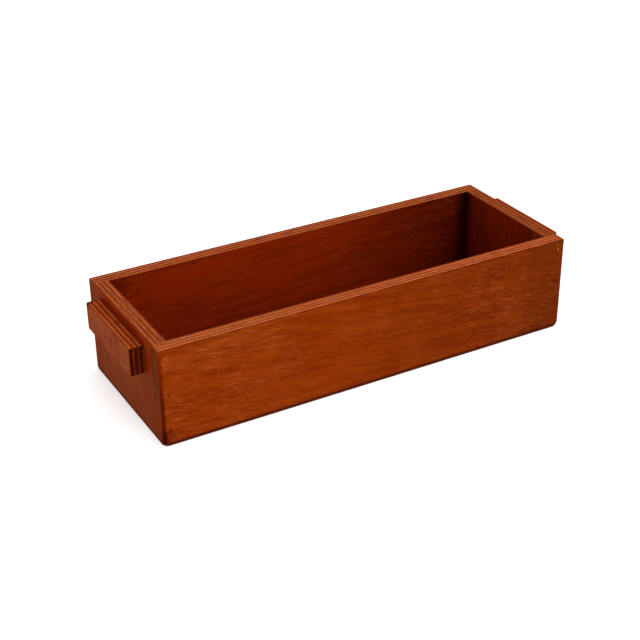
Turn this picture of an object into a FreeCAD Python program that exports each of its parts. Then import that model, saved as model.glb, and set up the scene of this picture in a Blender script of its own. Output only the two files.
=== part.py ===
import FreeCAD, Part
from collections import namedtuple
import os

# An open box of seven-ply board with a cleat handle on each end.
# The long sides run the full length, and the ends stand between them in plain butt joints.
# A thin three-ply sheet closes the bottom. Everything is glued and nailed, and nothing moves.
# Millimetres, +X along the length to the right, +Y to the back, +Z up.
# The origin lies on the surface that the box stands on, below the middle of the box.

# The box without its handles
box_length = 381.0
box_width = 139.7
wall_height = 82.5

# Board that the sides, ends and handles are cut from, and the sheet below them
board_thickness = 12.7
bottom_thickness = 3.2

# Handles, with their place below the rim
handle_length = 88.9
handle_height = 25.0
handle_drop = 6.8

# Edges broken with sandpaper after the box was put together
outer_arris = 1.5
rim_arris = 1.0
handle_arris = 1.2
handle_corner = 2.6

# Bottom corners worn blunt: a ball of this radius, its faces this far outside the box
worn_radius = 8.6
worn_offset = 2.2

# Nails through the sides into the ends
corner_nail_length = 32.0
corner_nail_count = 3
corner_nail_rise = 11.3
corner_nail_drop = 8.7

# Nails through the handles into the ends, measured from the handle's middle
handle_nail_length = 22.0
handle_nail_front = 30.8
handle_nail_back = 35.0

# Brads through the bottom sheet into the sides and ends
brad_length = 16.0
brads_per_side = 5
brads_per_end = 2
side_brad_margin = 34.0
end_brad_margin = 44.0

# The nails are flat-sided wire with a T-shaped head and a chisel point, set below the face
nail_width = 1.6
nail_thickness = 1.4
nail_head_width = 2.6
nail_head_height = 1.0
nail_point_height = 2.0
nail_set = 0.6

# The brads are the same in lighter wire
brad_width = 1.2
brad_thickness = 1.0
brad_head_width = 2.0
brad_head_height = 0.8
brad_point_height = 1.4
brad_set = 0.3

# Room between a nail and its hole, so that the two solids stay apart
nail_clearance = 0.05

# Places that follow from the sizes above
half_length = box_length / 2
half_width = box_width / 2
box_height = bottom_thickness + wall_height
inner_half_length = half_length - board_thickness
inner_half_width = half_width - board_thickness
end_middle = half_length - board_thickness / 2
side_middle = half_width - board_thickness / 2
handle_top = box_height - handle_drop
handle_middle = handle_top - handle_height / 2
handle_reach = half_length + board_thickness

# Length of a tool block that has to pass all the way through the box
through = 2 * (box_length + box_width)

RIGHT = FreeCAD.Vector(1, 0, 0)
LEFT = FreeCAD.Vector(-1, 0, 0)
BACK = FreeCAD.Vector(0, 1, 0)
FRONT = FreeCAD.Vector(0, -1, 0)
UP = FreeCAD.Vector(0, 0, 1)


def block(low, high):
    """A plain box between two corners."""
    size = [b - a for a, b in zip(low, high)]
    return Part.makeBox(*size, FreeCAD.Vector(*low))


def edges_where(shape, wanted):
    """The straight edges of a shape whose bounding box passes a test."""
    return [edge for edge in shape.Edges if wanted(edge.BoundBox)]


def is_upright(bounds):
    return bounds.ZLength > bounds.XLength + bounds.YLength


# Outside of the whole box

def sanded_envelope():
    """The box as one block, with its arrises broken and its bottom corners worn blunt."""
    sharp = block((-half_length, -half_width, 0), (half_length, half_width, box_height))
    broken = sharp.makeFillet(outer_arris, sharp.Edges)
    reach_x = half_length + worn_offset
    reach_y = half_width + worn_offset
    outer = block((-reach_x, -reach_y, -worn_offset), (reach_x, reach_y, through))
    worn_edges = edges_where(outer, lambda b: is_upright(b) or b.ZMax < box_height)
    return broken.common(outer.makeFillet(worn_radius, worn_edges))


def walls_as_one(envelope):
    """The four walls still joined, so that the rim's inner arris runs round the corners."""
    cavity = block((-inner_half_length, -inner_half_width, -through),
                   (inner_half_length, inner_half_width, through))
    above_sheet = block((-through, -through, bottom_thickness), (through, through, through))
    walls = envelope.common(above_sheet).cut(cavity)

    def on_inner_rim(bounds):
        return (bounds.ZMin > box_height - rim_arris
                and bounds.XMax < inner_half_length + rim_arris
                and bounds.XMin > -inner_half_length - rim_arris
                and bounds.YMax < inner_half_width + rim_arris
                and bounds.YMin > -inner_half_width - rim_arris)

    return walls.makeFillet(rim_arris, edges_where(walls, on_inner_rim))


# Boards

def side_board(walls, toward_back):
    """A full-length side, cut from the walls along the inner face of the side."""
    near = toward_back * inner_half_width
    far = toward_back * through
    return walls.common(block((-through, min(near, far), -through), (through, max(near, far), through)))


def end_board(walls, toward_right):
    """An end, cut to fit between the two sides."""
    near = toward_right * inner_half_length
    far = toward_right * through
    return walls.common(block((min(near, far), -inner_half_width, -through),
                              (max(near, far), inner_half_width, through)))


def bottom_sheet(envelope):
    """The thin sheet under the walls, sanded flush with them."""
    below = block((-through, -through, -through), (through, through, bottom_thickness))
    return envelope.common(below)


def handle(toward_right):
    """A cleat of the same board, flat against the end and rounded everywhere else."""
    inner = toward_right * half_length
    outer = toward_right * handle_reach
    blank = block((min(inner, outer), -handle_length / 2, handle_top - handle_height),
                  (max(inner, outer), handle_length / 2, handle_top))
    along_x = edges_where(blank, lambda b: b.XLength > b.YLength + b.ZLength)
    rounded = blank.makeFillet(handle_corner, along_x)
    shown = edges_where(rounded, lambda b: abs(b.XMin - outer) + abs(b.XMax - outer) < handle_arris)
    return rounded.makeFillet(handle_arris, shown)


# Nails

Wire = namedtuple("Wire", "width thickness head_width head_height point_height set_depth")

nail_wire = Wire(nail_width, nail_thickness, nail_head_width, nail_head_height,
                 nail_point_height, nail_set)
brad_wire = Wire(brad_width, brad_thickness, brad_head_width, brad_head_height,
                 brad_point_height, brad_set)


def cut_wire(half_outline, thickness, place, inward, across):
    """A flat-sided solid with the same outline on both sides of its middle line."""
    other_half = [(-offset, depth) for offset, depth in reversed(half_outline) if offset > 0]
    points = [place + across * offset + inward * depth for offset, depth in half_outline + other_half]
    flat = inward.cross(across) * thickness
    face = Part.Face(Part.makePolygon(points + points[:1]))
    face.translate(flat * -0.5)
    return face.extrude(flat)


def nail(wire, length, place, inward, across):
    """One nail, its head punched below the face at its place."""
    head_top = wire.set_depth
    neck = head_top + wire.head_height
    tip = head_top + length
    outline = [(wire.head_width / 2, head_top), (wire.head_width / 2, neck), (wire.width / 2, neck),
               (wire.width / 2, tip - wire.point_height), (0, tip)]
    return cut_wire(outline, wire.thickness, place, inward, across)


def nail_hole(wire, length, place, inward, across):
    """The hole of a nail, a clearance larger all round and open to the face."""
    neck = wire.set_depth + wire.head_height + nail_clearance
    tip = wire.set_depth + length + nail_clearance
    half_head = wire.head_width / 2 + nail_clearance
    half_shank = wire.width / 2 + nail_clearance
    outline = [(half_head, -outer_arris), (half_head, neck), (half_shank, neck),
               (half_shank, tip - wire.point_height), (0, tip)]
    return cut_wire(outline, wire.thickness + 2 * nail_clearance, place, inward, across)


def evenly(first, last, count):
    """Evenly spaced places from the first to the last, or the middle for a single one."""
    if count < 2:
        return [(first + last) / 2]
    return [first + (last - first) * step / (count - 1) for step in range(count)]


def corner_nail_places(toward_right, toward_back):
    """Where the nails of one corner enter the side, one above the other."""
    heights = evenly(bottom_thickness + corner_nail_rise, box_height - corner_nail_drop, corner_nail_count)
    return [FreeCAD.Vector(toward_right * end_middle, toward_back * half_width, z) for z in heights]


def handle_nail_places(toward_right):
    """Where the two nails of a handle enter it."""
    return [FreeCAD.Vector(toward_right * handle_reach, y, handle_middle)
            for y in (-handle_nail_front, handle_nail_back)]


def brad_places():
    """Where the brads enter the underside, along the middle of each board above."""
    along_side = evenly(side_brad_margin - half_length, half_length - side_brad_margin, brads_per_side)
    along_end = evenly(end_brad_margin - half_width, half_width - end_brad_margin, brads_per_end)
    under_sides = [FreeCAD.Vector(x, y, 0) for y in (-side_middle, side_middle) for x in along_side]
    under_ends = [FreeCAD.Vector(x, y, 0) for x in (-end_middle, end_middle) for y in along_end]
    return under_sides + under_ends


# Each group of nails: its node, its wire and length, where its heads are, the way it points
# and the way its heads are wide
nail_groups = [
    ("front_left_nails", nail_wire, corner_nail_length, corner_nail_places(-1, -1), BACK, UP),
    ("front_right_nails", nail_wire, corner_nail_length, corner_nail_places(1, -1), BACK, UP),
    ("back_left_nails", nail_wire, corner_nail_length, corner_nail_places(-1, 1), FRONT, UP),
    ("back_right_nails", nail_wire, corner_nail_length, corner_nail_places(1, 1), FRONT, UP),
    ("left_handle_nails", nail_wire, handle_nail_length, handle_nail_places(-1), RIGHT, UP),
    ("right_handle_nails", nail_wire, handle_nail_length, handle_nail_places(1), LEFT, UP),
    ("bottom_brads", brad_wire, brad_length, brad_places(), UP, RIGHT),
]


def every_hole():
    """One tool with the holes of all nails."""
    return Part.makeCompound([nail_hole(wire, length, place, inward, across)
                              for _, wire, length, places, inward, across in nail_groups
                              for place in places])


def main():
    envelope = sanded_envelope()
    walls = walls_as_one(envelope)
    holes = every_hole()
    wooden = {
        "front_side": side_board(walls, -1),
        "back_side": side_board(walls, 1),
        "left_end": end_board(walls, -1),
        "right_end": end_board(walls, 1),
        "bottom_sheet": bottom_sheet(envelope),
        "left_handle": handle(-1),
        "right_handle": handle(1),
    }
    os.makedirs("parts", exist_ok=True)
    for node, board in wooden.items():
        bored = board.cut(holes)
        print(node, "solids", len(bored.Solids), "valid", bored.isValid(), "volume", round(bored.Volume))
        bored.Solids[0].exportStep("parts/" + node + ".step")
    for node, wire, length, places, inward, across in nail_groups:
        group = Part.makeCompound([nail(wire, length, place, inward, across) for place in places])
        print(node, "solids", len(group.Solids), "valid", group.isValid(), "volume", round(group.Volume, 1))
        group.exportStep("parts/" + node + ".step")


main()
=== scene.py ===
import bpy
import bmesh
import math
from collections import namedtuple
from mathutils import Matrix, Vector


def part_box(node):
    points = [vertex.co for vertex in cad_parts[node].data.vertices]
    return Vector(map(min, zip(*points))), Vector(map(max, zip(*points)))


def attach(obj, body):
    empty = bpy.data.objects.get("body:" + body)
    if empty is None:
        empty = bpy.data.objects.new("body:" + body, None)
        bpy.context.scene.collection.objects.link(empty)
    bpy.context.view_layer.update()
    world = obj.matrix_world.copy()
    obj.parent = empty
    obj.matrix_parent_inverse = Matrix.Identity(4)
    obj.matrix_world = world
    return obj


# Looks of a long open box of stained plywood with a cleat handle on each end.
# Metres, in the same frame as the solids: +X along the box to the right, +Y to the back, +Z up.

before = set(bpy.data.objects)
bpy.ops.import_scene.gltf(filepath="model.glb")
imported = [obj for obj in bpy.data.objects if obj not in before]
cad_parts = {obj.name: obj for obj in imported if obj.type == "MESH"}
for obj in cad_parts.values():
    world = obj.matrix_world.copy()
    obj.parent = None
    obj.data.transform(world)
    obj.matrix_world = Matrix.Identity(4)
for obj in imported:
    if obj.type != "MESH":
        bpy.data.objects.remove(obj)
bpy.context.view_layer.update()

# Camera, at the photograph's viewing angle
CAMERA_PLACE = Vector((-0.5065, -0.8723, 0.5817))
CAMERA_AIM = Vector((0.0137, 0.0467, 0.0))
CAMERA_ROLL = math.radians(-0.51)
CAMERA_LENS = 75.3
SENSOR_WIDTH = 36.0
NEAREST_SEEN = 0.01

# Light: an even room, one broad lamp far away at the front right, and a floor that glows a little
WHITE = (1.0, 1.0, 1.0, 1.0)
ROOM_LIGHT = 0.84
KEY_LIGHT = 1.3
KEY_PLACE = Vector((0.75, -1.80, 2.28))
KEY_SPREAD = math.radians(70)
FLOOR_GLOW = 0.37

# The floor lies this far under the box, so that it shares no plane with the bottom sheet
FLOOR_DROP = 0.0001
FLOOR_REACH = 30.0

# Axes of the box, as numbers; the three add up to AXIS_SUM
LENGTHWISE, CROSSWISE, UPRIGHT = 0, 1, 2
AXIS_SUM = LENGTHWISE + CROSSWISE + UPRIGHT

# Places on the box that the finishes are set out from
FOOT_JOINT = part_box("bottom_sheet")[1].z
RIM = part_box("front_side")[1].z
HALF_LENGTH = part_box("front_side")[1].x
HALF_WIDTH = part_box("back_side")[1].y
INNER_END = -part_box("left_end")[1].x
INNER_SIDE = -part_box("front_side")[1].y
END_MIDDLE = (HALF_LENGTH + INNER_END) / 2
HANDLE_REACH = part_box("right_handle")[1].x
HANDLE_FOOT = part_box("right_handle")[0].z
HANDLE_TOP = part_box("right_handle")[1].z
HANDLE_MIDDLE = (HANDLE_FOOT + HANDLE_TOP) / 2

# The nails: where their heads are, and the putty in the recess over each head.
# Its dish starts inside a rim that is a share of its width.
NAIL_HEIGHTS = (0.01450, 0.04575, 0.07700)
HANDLE_NAILS = (-0.0308, 0.0350)
PUTTY_SIZE = Vector((0.00149, 0.00269, 0.00055))
PUTTY_LOW = 0.00003
PUTTY_DISH = 0.00008
PUTTY_RIM = 0.25

# Colours are linear light: red, green, blue.
# The stain is orange brown where the faces were wiped, and redder inside the box.
FACE_STAIN = (0.216, 0.0265, 0.0002)
FACE_DEEP = (0.160, 0.0165, 0.0002)
FACE_PALE = (0.335, 0.0690, 0.0130)
# A pale greyish haze that is painted sheen: light reflected off the varnish, put into the colour
PAINTED_SHEEN_HAZE = (0.245, 0.0470, 0.0070)
END_FACE_STAIN = (0.152, 0.0215, 0.0012)
HANDLE_STAIN = (0.194, 0.0360, 0.0085)
INSIDE_STAIN = (0.395, 0.0275, 0.0012)
# The colour that painted shade inside the box darkens the inside stain towards
INSIDE_PAINTED_SHADE = (0.107, 0.0034, 0.0002)
OPEN_PORE = (0.090, 0.0090, 0.0010)
GLUE_LINE = (0.060, 0.0090, 0.0025)
SOAKED_ARRIS = (0.100, 0.0090, 0.0010)
INNER_ARRIS = (0.360, 0.0700, 0.0160)
# Red stain in the run down the front's near corner; by the handles the same red is painted shade
STAIN_RUN_AND_SHADE = (0.210, 0.0125, 0.0003)
# The pale colour on the highest putty is a painted glint, the light caught by the top nails' heads
PUTTY_PAINTED_GLINT = (0.310, 0.0850, 0.0280)
DARK_PUTTY = (0.150, 0.0160, 0.0006)
DARK_STEEL = (0.030, 0.010, 0.005)
BARE_STEEL = (0.060, 0.030, 0.018)
FLOOR_SHADES = ((0.93, 0.93, 0.93), (0.95, 0.95, 0.95))

# Colours of one ply and the next on the boards' edges, and of the mottle on the sides' end grain
# The rims' colours hold some painted sheen too, a haze of light reflected off the top edges
FRONT_RIM_PALE = (0.560, 0.1320, 0.0400)
FRONT_RIM_DARK = (0.320, 0.0510, 0.0090)
BACK_RIM_PALE = (0.540, 0.1270, 0.0380)
BACK_RIM_DARK = (0.190, 0.0260, 0.0045)
END_RIM_PALE = (0.435, 0.0950, 0.0250)
END_RIM_DARK = (0.235, 0.0370, 0.0062)
CORNER_PALE = (0.250, 0.0370, 0.0040)
CORNER_DARK = (0.185, 0.0230, 0.0025)
CORNER_MOTTLE = (0.130, 0.0350, 0.0090)
HANDLE_TOP_PALE = (0.430, 0.0820, 0.0190)
HANDLE_TOP_DARK = (0.225, 0.0230, 0.0015)
HANDLE_END_PALE = (0.155, 0.0240, 0.0045)
HANDLE_END_DARK = (0.062, 0.0042, 0.0003)
SHEET_EDGE = (0.110, 0.0160, 0.0040)
SHEET_EDGE_DARK = (0.075, 0.0100, 0.0030)

# How many plies the board and the sheet have, and how thick a middle one is
BOARD_PLIES = 7
BOARD_PLY = 0.00195
SHEET_PLIES = 3
SHEET_PLY = 0.0012

# How wide the dark glue lines are on most boards, and how much pale painted sheen most faces have
MOSTLY_LINED = 0.20
MOSTLY_SHEEN_HAZE = 0.10

# How each board is cut and stained:
# thick and grain are the axes across its plies and along its face grain;
# first is how thick its first ply is, on the low side of the board, after sanding;
# seed sets its patterns apart from those of the other boards;
# face is the stain on the outer face;
# out_edge and along_edge are the colours of its straight and of its crossed plies, on the edges that
# the face grain runs out of and on those that it runs along;
# plies and ply are how many it has, and how thick each middle one is;
# tilt is how far its grain runs off line;
# inside is the way to the inside of the box along thick, or 0 for a handle;
# soaked is how dark the stain made the arrises;
# lined is how far from each glue line the edges are darker, as a share of half a ply;
# hazy is how much the face is mottled with a pale haze of painted sheen.
Board = namedtuple("Board", "node thick grain first seed face out_edge along_edge "
                   "plies ply tilt inside soaked lined hazy",
                   defaults=(BOARD_PLIES, BOARD_PLY, 0.0, 0, 0.0, MOSTLY_LINED, MOSTLY_SHEEN_HAZE))

END_EDGES = dict(out_edge=(END_RIM_DARK, END_RIM_PALE), along_edge=(END_RIM_PALE, END_RIM_DARK))
HANDLE_EDGES = dict(out_edge=(HANDLE_TOP_DARK, HANDLE_TOP_PALE),
                    along_edge=(HANDLE_END_PALE, HANDLE_END_DARK))

BOARDS = [
    Board("front_side", CROSSWISE, LENGTHWISE, first=0.0024, seed=1.3, tilt=math.radians(6), inside=1,
          face=FACE_STAIN, out_edge=(CORNER_DARK, CORNER_PALE),
          along_edge=(FRONT_RIM_PALE, FRONT_RIM_DARK), soaked=0.9),
    Board("back_side", CROSSWISE, LENGTHWISE, first=0.0015, seed=4.1, tilt=math.radians(-3), inside=-1,
          face=FACE_STAIN, out_edge=(CORNER_DARK, CORNER_PALE),
          along_edge=(BACK_RIM_PALE, BACK_RIM_DARK), soaked=0.8),
    Board("left_end", LENGTHWISE, UPRIGHT, first=0.0014, seed=7.7, inside=1,
          face=END_FACE_STAIN, soaked=0.15, hazy=0.25, **END_EDGES),
    Board("right_end", LENGTHWISE, UPRIGHT, first=0.0015, seed=9.2, inside=-1,
          face=END_FACE_STAIN, soaked=0.15, hazy=0.25, **END_EDGES),
    Board("left_handle", LENGTHWISE, UPRIGHT, first=0.0006, seed=12.4,
          face=HANDLE_STAIN, lined=0.35, hazy=0.60, **HANDLE_EDGES),
    Board("right_handle", LENGTHWISE, UPRIGHT, first=0.0021, seed=15.8,
          face=HANDLE_STAIN, lined=0.35, hazy=0.60, **HANDLE_EDGES),
    Board("bottom_sheet", UPRIGHT, LENGTHWISE, first=0.0010, seed=18.9, inside=1,
          plies=SHEET_PLIES, ply=SHEET_PLY, face=FACE_DEEP, out_edge=(END_FACE_STAIN, SHEET_EDGE),
          along_edge=(SHEET_EDGE, SHEET_EDGE_DARK), soaked=0.3),
]

# A noise: how often it changes in a metre along three directions, which on a board are mostly
# along its grain, across it and through the ply, and how fine, rough and twisted it is
Pattern = namedtuple("Pattern", "scale detail roughness distortion", defaults=(2.0, 0.5, 0.0))

FIGURE = Pattern((12.0, 120.0, 60.0), 3.0, 0.55, 1.0)
BLOTCHES = Pattern((38.0, 38.0, 38.0), 3.0, 0.55)
PATCHES = Pattern((22.0, 34.0, 22.0))
FIBRES = Pattern((110.0, 1300.0, 900.0), 3.0, 0.65)
FLECKS = Pattern((85.0, 640.0, 640.0), 1.0)
STREAKS = Pattern((95.0, 620.0, 620.0), 2.0, 0.7)
SPECKS = Pattern((560.0, 560.0, 560.0), 3.0, 0.8)
RUBS = Pattern((45.0, 1500.0, 60.0), 0.0)
GLUE_WAVES = Pattern((60.0, 60.0, 60.0))
RAGGED = Pattern((300.0, 300.0, 300.0))
STEEL_MARKS = Pattern((2400.0, 2400.0, 2400.0), 3.0, 0.6)
PUTTY_GRIT = Pattern((1800.0, 1800.0, 1800.0), 3.0, 0.6)
FLOOR_GRAIN = Pattern((3.0, 3.0, 3.0))

# How far a board's seed moves its patterns along each direction, and where the patches are taken
# from. The flecks lean more than the grain, and the scratches cross it at an angle.
SEED_SHIFT = (1.7, 0.6, 1.0)
PATCH_SHIFT = (0.3, 0.1, 0.7)
FLECK_LEAN = 1.3
RUB_ANGLE = math.radians(26)

# How far the glue lines wander, in plies
GLUE_WANDER = 0.35

# A smooth change along some measure: where it is nothing, where it is full, and how strong it is
Fade = namedtuple("Fade", "nothing full strength", defaults=(1.0,))

# A round mark with a ragged edge: its middle, its radius and how strong it is.
# It is full inside a core, which is a share of the radius, as the edge's wander is.
Spot = namedtuple("Spot", "middle radius strength")
SPOT_CORE = 0.3
SPOT_WANDER = 1.6

# Which way a surface is turned, from its normal's parts along the axes
SQUARE_ON = Fade(0.4, 0.8)
OFF_THE_RIM = Fade(0.8, 0.4)
TURNED_OUT = Fade(-0.3, -0.7)
TURNED_IN = Fade(0.5, 0.9)
ON_FACE = Fade(0.60, 0.90)
ON_OUT_EDGE = Fade(-0.25, 0.25)
ARRIS_FROM_EDGE = Fade(0.30, 0.55)
ARRIS_FROM_FACE = Fade(0.985, 0.90)

# Marks on the faces, cut out of the noises
DEEP_FIGURE = Fade(0.36, 0.62)
# The haze is painted sheen
SHEEN_HAZE = Fade(0.44, 0.62)
PALE_FIBRES = Fade(0.45, 0.85, 0.45)
PALE_FLECKS = Fade(0.43, 0.25, 0.50)
PALE_SPECKS = Fade(0.53, 0.72, 0.42)
SCRATCHES = Fade(0.70, 0.76, 0.35)
PORES = Fade(0.58, 0.76)
DARK_SPECKS = Fade(0.45, 0.25, 0.30)
DARK_FIBRES = Fade(0.46, 0.22, 0.22)
DARK_FIGURE_INSIDE = Fade(0.56, 0.38, 0.24)

# How large a share the first of two noises has where they make one mark together
FIGURE_SHARE = 0.7
HAZE_SHARE = 0.6
VIVID_SHARE = 0.3
GATHERED_SHARE = 0.4
MOTTLE_SHARE = 0.6

# How clearly the pale marks and the pores show: patchily everywhere. On the front they are faint
# just left of its middle and clear towards its ends. Inside the box they show less.
SHOWING_LEAST = 0.35
SHOWING_MORE = Fade(0.40, 0.62, 0.65)
FAINT_PLACE = -0.01
FAINT_SHARE = 0.55
FRONT_CLEAR = Fade(0.03, 0.12, 0.75)
FRONT_CLEAR_RIGHT = Fade(0.03, 0.12, 0.15)
LESS_INSIDE = 0.25
PORES_LEAST = 0.12
PORES_MORE = 0.30

# How much the inside of the box is darkened by painted shade: on the ends to start with, towards the
# back on the ends, and towards the right on the sides and the bottom
ENDS_PAINTED_SHADE = {"left_end": 0.30, "right_end": 0.66}
END_SHADE_TO_BACK = (Fade(0.01, INNER_SIDE, 0.14), Fade(0.045, INNER_SIDE, 0.14))
SIDE_SHADE_TO_RIGHT = (Fade(0.0, INNER_END, 0.80), Fade(INNER_END - 0.020, INNER_END, 0.14))

# Painted shade inside: the back right corner darkened all the way up, a painted shadow of the left
# end on the back wall by the rim, and a line of painted shade under the rim
FAR_END = Fade(INNER_END - 0.016, INNER_END - 0.002)
FAR_SIDE = Fade(INNER_SIDE - 0.009, INNER_SIDE)
FAR_CORNER_SHADE = 0.70
BACK_LEFT_SHADOW = Spot((0.006 - INNER_END, INNER_SIDE, RIM - 0.0070), 0.016, 0.35)
SHADE_UNDER_RIM = Fade(RIM - 0.0040, RIM - 0.0016, 0.10)

# The edges: the least contrast between the plies and where it is vivid, how narrow the pale plies
# are on the handles' end faces, the dark glue lines, and streaks and specks
LEAST_CONTRAST_ENDS = 0.35
LEAST_CONTRAST_OTHERS = 0.55
VIVID = Fade(0.42, 0.56)
THIN_LINES = Fade(0.80, 0.30)
GLUE_MIDDLE = 0.98
GLUE_DARK = 0.45
DARK_STREAKS = Fade(0.55, 0.30, 0.45)
EDGE_SPECKS = Fade(0.58, 0.34, 0.30)

# The end grain of the sides: brown mottles above the foot, and a dark blotch here and there
MOTTLE = Fade(0.44, 0.56, 0.70)
MOTTLE_HEIGHT = Fade(0.010, 0.060)
BLOTCH = Fade(0.50, 0.38, 0.30)
BLOTCH_RAGGED = 0.5

# The arrises: soaked outside, patchily, less at the upper ends of the sides, and worn pale inside
GATHERED = Fade(0.40, 0.55, 0.65)
GATHERED_LEAST = 0.35
NOT_SOAKED = Fade(0.0, 0.3)
UPPER_END = Fade(0.2, 0.5)
UPPER_END_HEIGHT = Fade(0.035, 0.060, 0.6)
WORN_FROM_EDGE = Fade(0.25, 0.50)
WORN_FROM_FACE = Fade(0.97, 0.80)
WORN_UPWARD = Fade(0.1, 0.3, 0.7)

# Dark lines at the joints: at the foot, measured up and down, and between ends and sides
FOOT_LINE = Fade(0.0007, 0.0002)
FOOT_DARK_ENDS = 0.2
FOOT_DARK_OTHERS = 0.5
END_JOINT_LINE = Fade(0.0006, 0.0001, 0.45)
SIDE_JOINT_LINE = Fade(0.0005, 0.0001, 0.35)

# The front: darker towards the right, and a dark line down the near corner
FRONT_DEEPER = (Fade(-0.06, 0.150, 0.22), Fade(0.140, 0.170, 0.16))
NEAR_LINE_PLACE = 0.0010 - HALF_LENGTH
NEAR_LINE = Fade(0.0024, 0.0012)
NEAR_LINE_AT_FACE = Fade(0.002 - HALF_WIDTH, 0.001 - HALF_WIDTH)
NEAR_LINE_HEIGHTS = (Fade(0.058, 0.040, 0.25), Fade(0.0830, 0.0760, 0.32))

# The ends: darker towards the foot, and the right one darker altogether
END_FOOT = Fade(0.050, 0.012, 0.10)
RIGHT_END_DARK = 0.14

# The handles: dark lines and bands round their end faces, of which the line by the wall is painted shade
# and the band under the top arris is a painted shadow; and painted shade along the top by the wall
HANDLE_END_LINES_AND_SHADE = (Fade(HANDLE_REACH - 0.0030, HANDLE_REACH - 0.0016, 0.35),
                    Fade(HALF_LENGTH + 0.0040, HALF_LENGTH + 0.0010, 0.25))
HANDLE_END_BANDS_AND_SHADOW = (Fade(HANDLE_FOOT + 0.0022, HANDLE_FOOT + 0.0010, 0.50),
                    Fade(HANDLE_TOP - 0.0030, HANDLE_TOP - 0.0018, 0.35))
HANDLE_TOP_SHADE = (Fade(HALF_LENGTH + 0.0115, HALF_LENGTH + 0.0030, 0.18),
                    Fade(HALF_LENGTH + 0.0040, HALF_LENGTH + 0.0010, 0.05))

# Spots: two smudges at each of the front's lower nails, its worn near foot, and a few others.
# All marks, and the painted shade with them, together take no more than the share below of the colour away.
LOWER_NAILS = NAIL_HEIGHTS[:-1]
SMUDGES_ASIDE = (-0.0010, 0.0014)
SMUDGES = [Spot((end + aside, -HALF_WIDTH, height), 0.0024, 0.17)
           for height in LOWER_NAILS
           for end in (-END_MIDDLE, END_MIDDLE)
           for aside in SMUDGES_ASIDE]
SPOTS = {
    "front_side": [Spot((-HALF_LENGTH, -HALF_WIDTH, 0.006), 0.013, 0.40)] + SMUDGES,
    "left_end": [Spot((-HALF_LENGTH, 0.028, 0.046), 0.010, 0.25)],
    "left_handle": [Spot((-HALF_LENGTH - 0.0115, 0.0425, 0.0780), 0.007, 0.70),
                    Spot((-HANDLE_REACH, HANDLE_NAILS[1], HANDLE_MIDDLE), 0.0020, 0.35)],
}
MOST_DARKENED = 0.85

# A run of red stain on the front, and the same red as painted shade by the handles. On a handle's top
# the painted shade stays by the wall; on an end it lies over the handle and beside it.
RUN_AND_SHADE_STRENGTH = 0.65
SHADE_ON_HANDLE = Fade(HALF_LENGTH + 0.0032, HALF_LENGTH + 0.0010)
SHADE_OVER_HEIGHTS = (Fade(HANDLE_TOP + 0.0058, HANDLE_TOP + 0.0005),
                    Fade(HANDLE_TOP - 0.0010, HANDLE_TOP - 0.0002))
SHADE_OVER_WIDTH = Fade(0.0490, 0.0435)
SHADE_BESIDE = Fade(0.0580, 0.0460, 0.7)
SHADE_BESIDE_FOOT = Fade(HANDLE_FOOT - 0.0020, HANDLE_FOOT + 0.0030)

# On the front, a run goes down the near corner and ends in a ragged patch at the foot
CORNER_RUN = Fade(0.0030 - HALF_LENGTH, 0.0018 - HALF_LENGTH)
CORNER_RUN_HEIGHT = Fade(0.0830, 0.0760)
CORNER_RUN_AT_FACE = Fade(0.0025 - HALF_WIDTH, 0.0012 - HALF_WIDTH)
FOOT_PATCH = Fade(0.0056 - HALF_LENGTH, 0.0042 - HALF_LENGTH)
FOOT_PATCH_WANDER = 0.004
FOOT_PATCH_HEIGHT = Fade(0.0180, 0.0150)
FOOT_PATCH_HEIGHT_WANDER = 0.006

# How rough and how glossy the wood is, and how its surface rises and falls
WOOD_ROUGH = 0.42
FIBRES_ROUGH = 0.12
PORES_ROUGH = 0.12
EDGE_ROUGH = 0.15
WOOD_GLOSS = 0.005
FIBRES_RISE = 0.3
PORES_SINK = 0.8
GLUE_SINKS = 0.5
SPECKS_RISE = 0.2
END_GRAIN_RISE = 0.2
WOOD_RELIEF = 0.00015
RELIEF_STRENGTH = 0.7

# Steel, putty and floor
STEEL_BARE = Fade(0.35, 0.7)
STEEL_ROUGH = 0.50
STEEL_MARKS_ROUGH = 0.2
STEEL_METALLIC = 0.7
STEEL_GLOSS = 0.1
STEEL_RELIEF = 0.0001
PUTTY_GLINT_HEIGHT = Fade(0.070, 0.074)
PUTTY_DARK_GRIT = Fade(0.6, 0.35, 0.4)
PUTTY_ROUGH = 0.6
PUTTY_GRIT_ROUGH = 0.2
PUTTY_GLOSS = 0.008
PUTTY_RELIEF = 0.0002
FLOOR_ROUGH = 0.9
FLOOR_RELIEF = 0.0001

# The sockets of a Mix node for colours and for vectors: its two inputs and its output
COLOUR_SOCKETS = (6, 7, 2)
VECTOR_SOCKETS = (4, 5, 1)

# One number for each axis
Parts = namedtuple("Parts", "x y z")


class Value:
    """One output of a material's nodes, which sums and products can be written with."""

    def __init__(self, finish, socket):
        self.finish = finish
        self.socket = socket

    def maths(self, operation, *others):
        return self.finish.maths(operation, self, *others)

    def __add__(self, other):
        return self.maths("ADD", other)

    __radd__ = __add__

    def __mul__(self, other):
        return self.maths("MULTIPLY", other)

    __rmul__ = __mul__

    def __sub__(self, other):
        return self.maths("SUBTRACT", other)

    def __rsub__(self, other):
        return self.finish.maths("SUBTRACT", other, self)

    def __abs__(self):
        return self.maths("ABSOLUTE")


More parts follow.
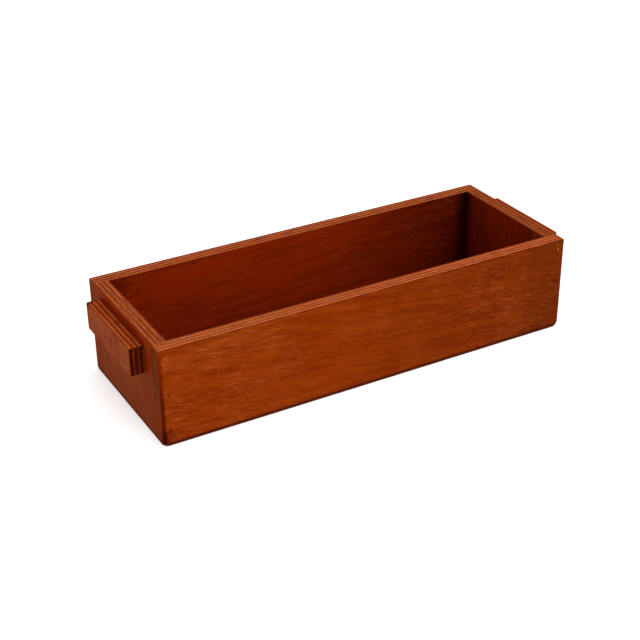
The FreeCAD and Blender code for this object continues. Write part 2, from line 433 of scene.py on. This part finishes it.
class Finish:
    """The nodes of one finish."""

    def __init__(self, name):
        self.material = bpy.data.materials.new(name)
        self.material.use_nodes = True
        self.nodes = self.material.node_tree.nodes
        self.links = self.material.node_tree.links
        self.nodes.clear()
        self.here = self.node("ShaderNodeTexCoord", output="Object")

    def node(self, kind, settings=None, sockets=None, output=0):
        """A node of that kind, its settings made first, then its sockets' values or links."""
        made = self.nodes.new(kind)
        for name, value in (settings or {}).items():
            setattr(made, name, value)
        for name, value in (sockets or {}).items():
            if isinstance(value, Value):
                self.links.new(value.socket, made.inputs[name])
            else:
                made.inputs[name].default_value = value
        return Value(self, made.outputs[output])

    def maths(self, operation, *values):
        return self.node("ShaderNodeMath", {"operation": operation}, dict(enumerate(values)))

    def parts(self, vector):
        """A vector's three numbers."""
        return Parts(*[self.node("ShaderNodeSeparateXYZ", {}, {0: vector}, axis) for axis in "XYZ"])

    def vector(self, x, y, z):
        return self.node("ShaderNodeCombineXYZ", {}, {0: x, 1: y, 2: z})

    def fade(self, value, fade):
        """0 where a fade is nothing, its strength where it is full, and smooth between them."""
        return self.node("ShaderNodeMapRange", {"interpolation_type": "SMOOTHSTEP"},
                         {"Value": value, "From Min": fade.nothing, "From Max": fade.full,
                          "To Max": fade.strength})

    def fades(self, value, pair):
        """Two fades of the same value, added up."""
        first, second = pair
        return self.fade(value, first) + self.fade(value, second)

    def mix(self, kind, sockets, share, first, second):
        """Colours or vectors through one Mix node."""
        low, high, output = sockets
        return self.node("ShaderNodeMix", {"data_type": kind}, {0: share, low: first, high: second}, output)

    def blend(self, share, first, second):
        """A colour between two, by share."""
        return self.mix("RGBA", COLOUR_SOCKETS, share, self.colour(first), self.colour(second))

    def between(self, share, first, second):
        """A vector between two, by share."""
        return self.mix("VECTOR", VECTOR_SOCKETS, share, first, second)

    def darkened(self, colour, share):
        """A colour with that share of it taken away."""
        left = 1.0 - share
        return self.node("ShaderNodeVectorMath", {"operation": "SCALE"}, {0: colour, "Scale": left})

    @staticmethod
    def colour(shade):
        """A colour from the nodes as it is, or a plain one as a socket takes it."""
        return shade if isinstance(shade, Value) else (*shade, 1.0)

    def noise(self, vector, pattern, turn=0.0, shift=(0.0, 0.0, 0.0)):
        """A noise on a vector that is turned in the face's plane, shifted, and then scaled."""
        turned = self.node("ShaderNodeMapping", {"vector_type": "POINT"},
                           {"Vector": vector, "Rotation": (0.0, 0.0, turn), "Location": shift})
        scaled = self.node("ShaderNodeVectorMath", {"operation": "MULTIPLY"}, {0: turned, 1: pattern.scale})
        return self.node("ShaderNodeTexNoise", {"noise_dimensions": "3D"},
                         {"Vector": scaled, "Scale": 1.0, "Detail": pattern.detail,
                          "Roughness": pattern.roughness, "Distortion": pattern.distortion})

    def shaded(self, base, roughness, relief, depth, specular, metallic=0.0, glow=0.0):
        """Ends the finish in one glossy shader."""
        bump = self.node("ShaderNodeBump", {},
                         {"Height": relief, "Distance": depth, "Strength": RELIEF_STRENGTH})
        shader = self.node("ShaderNodeBsdfPrincipled", {}, {
            "Base Color": base, "Roughness": roughness, "Normal": bump,
            "Metallic": metallic, "Specular IOR Level": specular,
            "Emission Color": WHITE, "Emission Strength": glow})
        output = self.nodes.new("ShaderNodeOutputMaterial")
        self.links.new(shader.socket, output.inputs["Surface"])
        return self.material


def wander(noise, amount):
    """A noise, which lies round a half, as a change of up to half that amount up and down."""
    return (noise - 0.5) * amount


def mixture(first, second, share):
    """Two noises as one, by the share of the first."""
    return first * share + second * (1.0 - share)


class Plywood(Finish):
    """Stained plywood as a solid texture: each ply has its own grain, and the edges show it."""

    def __init__(self, board):
        super().__init__(board.node + "_ply")
        self.board = board
        self.place = self.parts(self.here)
        self.facing = self.parts(self.node("ShaderNodeTexCoord", output="Normal"))
        self.normal = Parts(*[abs(number) for number in self.facing])
        self.shift = tuple(board.seed * share for share in SEED_SHIFT)
        self.find_ply()
        self.find_side()
        self.lay_patterns()

    def find_ply(self):
        """Whether this ply is a crossed one, and how near its glue lines are, which are wavy."""
        board = self.board
        first_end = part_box(board.node)[0][board.thick] + board.first
        waves = self.noise(self.here, GLUE_WAVES, shift=self.shift)
        past_first = (self.place[board.thick] - first_end) * (1.0 / board.ply)
        depth = past_first + 1.0 + wander(waves, GLUE_WANDER)
        first_middle = 0.5
        last_middle = board.plies - 0.5
        layer = self.maths("MINIMUM", self.maths("MAXIMUM", depth, first_middle), last_middle)
        self.crossed = layer.maths("FLOOR").maths("MODULO", 2.0)
        self.near_glue = abs(layer.maths("FRACT") - 0.5) * 2.0

    def find_side(self):
        """Whether this is a face, an edge that the grain runs out of, or an arris between them."""
        board = self.board
        self.across = AXIS_SUM - board.thick - board.grain
        off_edge = self.normal[board.thick]
        self.on_face = self.fade(off_edge, ON_FACE)
        self.out_side = self.fade(self.normal[board.grain] - self.normal[self.across], ON_OUT_EDGE)
        self.on_arris = self.fade(off_edge, ARRIS_FROM_EDGE) * self.fade(off_edge, ARRIS_FROM_FACE)

    def lay_patterns(self):
        """The noises, most of them in the ply's own frame: along its grain, across it, through it."""
        board, place, here, shift = self.board, self.place, self.here, self.shift
        straight = self.vector(place[board.grain], place[self.across], place[board.thick])
        turned = self.vector(place[self.across], place[board.grain], place[board.thick])
        local = self.between(self.crossed, straight, turned)
        self.figure = self.noise(local, FIGURE, board.tilt, shift)
        self.blotches = self.noise(here, BLOTCHES, shift=shift)
        self.patches = self.noise(local, PATCHES, board.tilt, PATCH_SHIFT)
        self.fibres = self.noise(local, FIBRES, board.tilt, shift)
        self.flecks = self.noise(local, FLECKS, board.tilt * FLECK_LEAN, shift)
        self.streaks = self.noise(local, STREAKS, shift=shift)
        self.specks = self.noise(here, SPECKS, shift=shift)
        self.rubs = self.noise(local, RUBS, board.tilt + RUB_ANGLE, shift)
        self.ragged = self.noise(here, RAGGED)

    def spot(self, spot):
        """A spot's strength at its middle, falling to 0 at a ragged radius."""
        away = self.node("ShaderNodeVectorMath", {"operation": "DISTANCE"},
                         {0: self.here, 1: spot.middle}, "Value")
        ragged = away + wander(self.ragged, SPOT_WANDER * spot.radius)
        return self.fade(ragged, Fade(spot.radius, SPOT_CORE * spot.radius, spot.strength))

    # Marks that darken the wood, and painted shade

    def front_marks(self):
        """Darker towards the right, and a line down the near corner."""
        place = self.place
        towards_right = self.fades(place.x, FRONT_DEEPER) * self.fade(self.facing.z, OFF_THE_RIM)
        line = self.fade(abs(place.x - NEAR_LINE_PLACE), NEAR_LINE) * self.fade(place.y, NEAR_LINE_AT_FACE)
        return towards_right + line * self.fades(place.z, NEAR_LINE_HEIGHTS)

    def handle_lines_and_shade(self):
        """Lines round a handle's end faces, partly painted shade, and painted shade on its top by the wall.
        """
        out = abs(self.place.x)
        lines = self.fades(out, HANDLE_END_LINES_AND_SHADE) + self.fades(self.place.z, HANDLE_END_BANDS_AND_SHADOW)
        on_ends = self.fade(self.normal.y, SQUARE_ON) * lines
        return on_ends + self.fade(self.facing.z, SQUARE_ON) * self.fades(out, HANDLE_TOP_SHADE)

    def marks_and_painted_shade(self):
        """How much darker the board is at stain, dirt and joints, and in painted shade by the handles."""
        board, place = self.board, self.place
        foot_dark = FOOT_DARK_ENDS if board.thick == LENGTHWISE else FOOT_DARK_OTHERS
        marks = self.fade(abs(place.z - FOOT_JOINT), FOOT_LINE) * foot_dark
        for spot in SPOTS.get(board.node, []):
            marks = marks + self.spot(spot)
        if board.node == "front_side":
            marks = marks + self.front_marks()
        if board.node == "right_end":
            marks = marks + RIGHT_END_DARK
        if board.node.endswith("handle"):
            marks = marks + self.handle_lines_and_shade()
        if board.node.endswith("end"):
            marks = marks + self.fade(place.z, END_FOOT)
            marks = marks + self.fade(abs(abs(place.y) - INNER_SIDE), END_JOINT_LINE)
        if board.node.endswith("side"):
            marks = marks + self.fade(abs(abs(place.y) - INNER_SIDE), SIDE_JOINT_LINE)
        return self.maths("MINIMUM", marks, MOST_DARKENED)

    # Runs of stain, and red painted shade by the handles

    def shade_on_handle(self):
        """Red painted shade on a handle's top, by the wall."""
        return self.fade(self.facing.z, SQUARE_ON) * self.fade(abs(self.place.x), SHADE_ON_HANDLE)

    def shade_by_handle(self):
        """Red painted shade on an end's outer face, just over the handle and beside it."""
        aside, height = abs(self.place.y), self.place.z
        over = self.fade(aside, SHADE_OVER_WIDTH)
        for fade in SHADE_OVER_HEIGHTS:
            over = over * self.fade(height, fade)
        beside = self.fade(aside, SHADE_BESIDE) * self.fade(height, SHADE_BESIDE_FOOT)
        outward = self.fade(self.facing.x * self.board.inside, TURNED_OUT)
        return self.maths("MAXIMUM", over, beside) * outward

    def run_on_front(self):
        """Stain down the near corner, and in a ragged patch at its foot."""
        place = self.place
        corner = self.fade(place.x, CORNER_RUN) * self.fade(place.z, CORNER_RUN_HEIGHT)
        along = place.x + wander(self.ragged, FOOT_PATCH_WANDER)
        height = place.z + wander(self.ragged, FOOT_PATCH_HEIGHT_WANDER)
        patch = self.fade(along, FOOT_PATCH) * self.fade(height, FOOT_PATCH_HEIGHT)
        return self.maths("MAXIMUM", corner, patch) * self.fade(place.y, CORNER_RUN_AT_FACE)

    def with_run_and_shade(self, base):
        """The wood's colour under the stain run and the red painted shade. The back and the bottom have
        none.
        """
        runs = {"front_side": self.run_on_front, "left_end": self.shade_by_handle, "right_end": self.shade_by_handle,
                "left_handle": self.shade_on_handle, "right_handle": self.shade_on_handle}
        if self.board.node not in runs:
            return base
        return self.blend(runs[self.board.node]() * RUN_AND_SHADE_STRENGTH, base, STAIN_RUN_AND_SHADE)

    # Faces

    def painted_shade_inside(self):
        """How deep the painted shade inside the box is: towards the back on the ends, else the right."""
        if self.board.thick == LENGTHWISE:
            return ENDS_PAINTED_SHADE[self.board.node] + self.fades(self.place.y, END_SHADE_TO_BACK)
        return self.fades(self.place.x, SIDE_SHADE_TO_RIGHT)

    def inside_stain_and_shade(self, shaded_corner):
        """The colour of a board's inner face, darkened by painted shade and shadow."""
        inside = self.blend(self.painted_shade_inside(), INSIDE_STAIN, INSIDE_PAINTED_SHADE)
        inside = self.darkened(inside, self.fade(self.figure, DARK_FIGURE_INSIDE))
        inside = self.darkened(inside, shaded_corner * FAR_CORNER_SHADE)
        inside = self.darkened(inside, self.spot(BACK_LEFT_SHADOW))
        return self.darkened(inside, self.fade(self.place.z, SHADE_UNDER_RIM))

    def how_clear(self):
        """How clearly the pale marks and the pores show on the outside."""
        showing = SHOWING_LEAST + self.fade(self.patches, SHOWING_MORE)
        if self.board.node == "front_side":
            from_faint = abs(self.place.x - FAINT_PLACE)
            showing = showing * (FAINT_SHARE + self.fade(from_faint, FRONT_CLEAR))
            showing = showing + self.fade(self.place.x, FRONT_CLEAR_RIGHT)
        return showing

    def face_colour(self, pores):
        """Broad figure, blotches and haze, then pale fibres, flecks, specks and scratches, and pores."""
        board = self.board
        figure = self.fade(mixture(self.figure, self.blotches, FIGURE_SHARE), DEEP_FIGURE)
        # The haze is painted sheen, pale patches standing in for reflected light
        haze = self.fade(mixture(self.patches, self.blotches, HAZE_SHARE), SHEEN_HAZE) * board.hazy
        face = self.blend(haze, self.blend(figure, FACE_DEEP, board.face), PAINTED_SHEEN_HAZE)
        showing = self.how_clear()
        if board.inside:
            inward = self.fade(self.facing[board.thick] * board.inside, TURNED_IN)
            # Painted shade in the back right corner, where the pale marks fade out as well
            shaded_corner = self.fade(self.place.x, FAR_END) * self.fade(self.place.y, FAR_SIDE)
            face = self.blend(inward, face, self.inside_stain_and_shade(shaded_corner))
            showing = showing * (1.0 - inward * LESS_INSIDE) * (1.0 - shaded_corner)
        for noise, fade in ((self.fibres, PALE_FIBRES), (self.flecks, PALE_FLECKS),
                            (self.specks, PALE_SPECKS), (self.rubs, SCRATCHES)):
            face = self.blend(self.fade(noise, fade) * showing, face, FACE_PALE)
        face = self.blend(pores * (PORES_LEAST + showing * PORES_MORE), face, OPEN_PORE)
        face = self.darkened(face, self.fade(self.specks, DARK_SPECKS))
        return self.darkened(face, self.fade(self.fibres, DARK_FIBRES))

    # Sawn and sanded edges

    def ply_contrast(self):
        """Which of its two colours a ply has, nearer to one another in patches."""
        board = self.board
        if not board.inside:
            return self.crossed
        least = LEAST_CONTRAST_ENDS if board.thick == LENGTHWISE else LEAST_CONTRAST_OTHERS
        vivid = self.fade(mixture(self.specks, self.blotches, VIVID_SHARE), VIVID)
        halfway = 0.5
        return halfway + (self.crossed - halfway) * (least + vivid * (1.0 - least))

    def end_grain_marks(self, edge):
        """An edge's colour with mottles and blotches where the face grain runs out of it."""
        mottle = self.fade(mixture(self.ragged, self.blotches, MOTTLE_SHARE), MOTTLE)
        mottle = mottle * self.fade(self.place.z, MOTTLE_HEIGHT)
        edge = self.blend(mottle * self.out_side, edge, CORNER_MOTTLE)
        blotch = self.fade(self.patches + wander(self.specks, BLOTCH_RAGGED), BLOTCH)
        return self.darkened(edge, blotch * self.out_side)

    def edge_colour(self, glue):
        """Each ply in its turn, streaks along it, specks of end grain, and the glue lines."""
        board = self.board
        shown = self.ply_contrast()
        out_edge = self.blend(shown, *board.out_edge)
        if board.node.endswith("handle"):
            shown = 1.0 - (1.0 - self.crossed) * self.fade(self.near_glue, THIN_LINES)
        edge = self.blend(self.out_side, self.blend(shown, *board.along_edge), out_edge)
        edge = self.darkened(edge, self.fade(self.streaks, DARK_STREAKS))
        if board.thick == CROSSWISE:
            edge = self.end_grain_marks(edge)
        edge = self.darkened(edge, self.fade(self.specks, EDGE_SPECKS))
        return self.blend(glue * GLUE_DARK, edge, GLUE_LINE)

    # Arrises

    def with_arrises(self, base):
        """The wood's colour with its outer arrises soaked dark and its inner ones worn pale."""
        board = self.board
        gathered = self.fade(mixture(self.specks, self.blotches, GATHERED_SHARE), GATHERED)
        soaked = self.on_arris * (board.soaked * (GATHERED_LEAST + gathered))
        if board.inside:
            inward = self.facing[board.thick] * board.inside
            soaked = soaked * (1.0 - self.fade(inward, NOT_SOAKED))
            worn = self.fade(inward, WORN_FROM_EDGE) * self.fade(inward, WORN_FROM_FACE)
            base = self.blend(worn * self.fade(self.facing.z, WORN_UPWARD), base, INNER_ARRIS)
        if board.thick == CROSSWISE:
            upper_end = self.fade(self.normal.x, UPPER_END) * self.fade(self.place.z, UPPER_END_HEIGHT)
            soaked = soaked * (1.0 - upper_end)
        return self.blend(soaked, base, SOAKED_ARRIS)

    def finished(self):
        """The whole finish of the board."""
        on_edge = 1.0 - self.on_face
        pores = self.fade(self.flecks, PORES)
        glue = self.fade(self.near_glue, Fade(1.0 - self.board.lined, GLUE_MIDDLE))
        base = self.blend(self.on_face, self.edge_colour(glue), self.face_colour(pores))
        base = self.with_run_and_shade(self.with_arrises(base))
        base = self.darkened(base, self.marks_and_painted_shade())
        roughness = WOOD_ROUGH + self.fibres * FIBRES_ROUGH + pores * PORES_ROUGH + on_edge * EDGE_ROUGH
        end_on = abs(self.crossed - self.out_side)
        grit = self.specks * (SPECKS_RISE + end_on * END_GRAIN_RISE)
        relief = self.fibres * FIBRES_RISE - pores * PORES_SINK - glue * on_edge * GLUE_SINKS + grit
        return self.shaded(base, roughness, relief, WOOD_RELIEF, WOOD_GLOSS)


def steel_finish():
    """Nail heads, dulled by the stain."""
    finish = Finish("stained_steel")
    marks = finish.noise(finish.here, STEEL_MARKS)
    base = finish.blend(finish.fade(marks, STEEL_BARE), DARK_STEEL, BARE_STEEL)
    roughness = STEEL_ROUGH + marks * STEEL_MARKS_ROUGH
    return finish.shaded(base, roughness, marks, STEEL_RELIEF, STEEL_GLOSS, metallic=STEEL_METALLIC)


def putty_finish():
    """Stopping over the nail heads, dark with stain; the pale colour on the highest ones is a painted
    glint.
    """
    finish = Finish("stained_putty")
    height = finish.parts(finish.here).z
    grit = finish.noise(finish.here, PUTTY_GRIT)
    base = finish.blend(finish.fade(height, PUTTY_GLINT_HEIGHT), DARK_PUTTY, PUTTY_PAINTED_GLINT)
    base = finish.darkened(base, finish.fade(grit, PUTTY_DARK_GRIT))
    return finish.shaded(base, PUTTY_ROUGH + grit * PUTTY_GRIT_ROUGH, grit, PUTTY_RELIEF, PUTTY_GLOSS)


def floor_finish():
    """Plain and pale, with no gloss, and glowing a little."""
    finish = Finish("pale_floor")
    grain = finish.noise(finish.here, FLOOR_GRAIN)
    base = finish.blend(grain, *FLOOR_SHADES)
    return finish.shaded(base, FLOOR_ROUGH, grain, FLOOR_RELIEF, specular=0.0, glow=FLOOR_GLOW)


def wear_finish(node, material):
    """Gives a solid its finish."""
    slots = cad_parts[node].data.materials
    slots.clear()
    slots.append(material)


def dress_solids():
    """Plywood on every board, and steel on the nails and brads."""
    for board in BOARDS:
        wear_finish(board.node, Plywood(board).finished())
    steel = steel_finish()
    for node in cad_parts:
        if node.endswith(("nails", "brads")):
            wear_finish(node, steel)


def finished_piece(name, shape, material):
    """An object from a bmesh, riding on the box."""
    mesh = bpy.data.meshes.new(name)
    bmesh.ops.recalc_face_normals(shape, faces=shape.faces)
    shape.to_mesh(mesh)
    shape.free()
    piece = bpy.data.objects.new(name, mesh)
    mesh.materials.append(material)
    bpy.context.collection.objects.link(piece)
    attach(piece, "root")


def stop_nails(name, places, outward, material):
    """Putty over the heads of a group of nails, dished and a hair below the face."""
    shape = bmesh.new()
    turn = outward.to_track_quat("Z", "Y").to_matrix().to_4x4()
    for place in places:
        others = set(shape.verts)
        bmesh.ops.create_cube(shape, size=1.0)
        plug = [vert for vert in shape.verts if vert not in others]
        bmesh.ops.scale(shape, vec=PUTTY_SIZE, verts=plug)
        bmesh.ops.translate(shape, vec=(0.0, 0.0, -PUTTY_LOW - PUTTY_SIZE.z / 2), verts=plug)
        shape.normal_update()
        top = max({face for vert in plug for face in vert.link_faces}, key=lambda face: face.normal.z)
        bmesh.ops.inset_region(shape, faces=[top], thickness=PUTTY_SIZE.x * PUTTY_RIM)
        bmesh.ops.translate(shape, vec=(0.0, 0.0, -PUTTY_DISH), verts=list(top.verts))
        whole = [vert for vert in shape.verts if vert not in others]
        bmesh.ops.transform(shape, matrix=Matrix.Translation(place) @ turn, verts=whole)
    finished_piece(name, shape, material)


def stop_all_nails():
    """Putty in the recesses over the nails of the corners and of the handles."""
    putty = putty_finish()
    for end, left_or_right in ((-1.0, "left"), (1.0, "right")):
        for side, front_or_back in ((-1.0, "front"), (1.0, "back")):
            name = front_or_back + "_" + left_or_right + "_putty"
            places = [Vector((end * END_MIDDLE, side * HALF_WIDTH, height)) for height in NAIL_HEIGHTS]
            stop_nails(name, places, Vector((0.0, side, 0.0)), putty)
        places = [Vector((end * HANDLE_REACH, along, HANDLE_MIDDLE)) for along in HANDLE_NAILS]
        stop_nails(left_or_right + "_handle_putty", places, Vector((end, 0.0, 0.0)), putty)


def lay_floor():
    """A wide pale floor just under the box."""
    mesh = bpy.data.meshes.new("floor")
    shape = bmesh.new()
    bmesh.ops.create_grid(shape, x_segments=1, y_segments=1, size=FLOOR_REACH)
    bmesh.ops.translate(shape, vec=(0.0, 0.0, -FLOOR_DROP), verts=shape.verts)
    shape.to_mesh(mesh)
    shape.free()
    floor = bpy.data.objects.new("floor", mesh)
    floor.data.materials.append(floor_finish())
    bpy.context.collection.objects.link(floor)


def aimed(place, target, roll=0.0):
    """A matrix that looks from a place towards a target, with +Z up, then rolled."""
    turn = (target - place).to_track_quat("-Z", "Y").to_matrix().to_4x4()
    return Matrix.Translation(place) @ turn @ Matrix.Rotation(roll, 4, "Z")


def set_camera():
    """The camera of the photograph."""
    data = bpy.data.cameras.new("photo_camera")
    data.lens = CAMERA_LENS
    data.sensor_width = SENSOR_WIDTH
    data.sensor_fit = "HORIZONTAL"
    data.clip_start = NEAREST_SEEN
    camera = bpy.data.objects.new("photo_camera", data)
    camera.matrix_world = aimed(CAMERA_PLACE, CAMERA_AIM, CAMERA_ROLL)
    bpy.context.collection.objects.link(camera)
    bpy.context.scene.camera = camera


def set_light():
    """The lamp and the white room."""
    data = bpy.data.lights.new("broad_key", "SUN")
    data.energy = KEY_LIGHT
    data.angle = KEY_SPREAD
    lamp = bpy.data.objects.new("broad_key", data)
    lamp.matrix_world = aimed(KEY_PLACE, Vector((0.0, 0.0, 0.0)))
    bpy.context.collection.objects.link(lamp)
    world = bpy.data.worlds.new("studio")
    world.use_nodes = True
    room = world.node_tree.nodes["Background"].inputs
    room["Color"].default_value = WHITE
    room["Strength"].default_value = ROOM_LIGHT
    bpy.context.scene.world = world
    bpy.context.scene.view_settings.view_transform = "Standard"


set_camera()
dress_solids()
stop_all_nails()
lay_floor()
set_light()
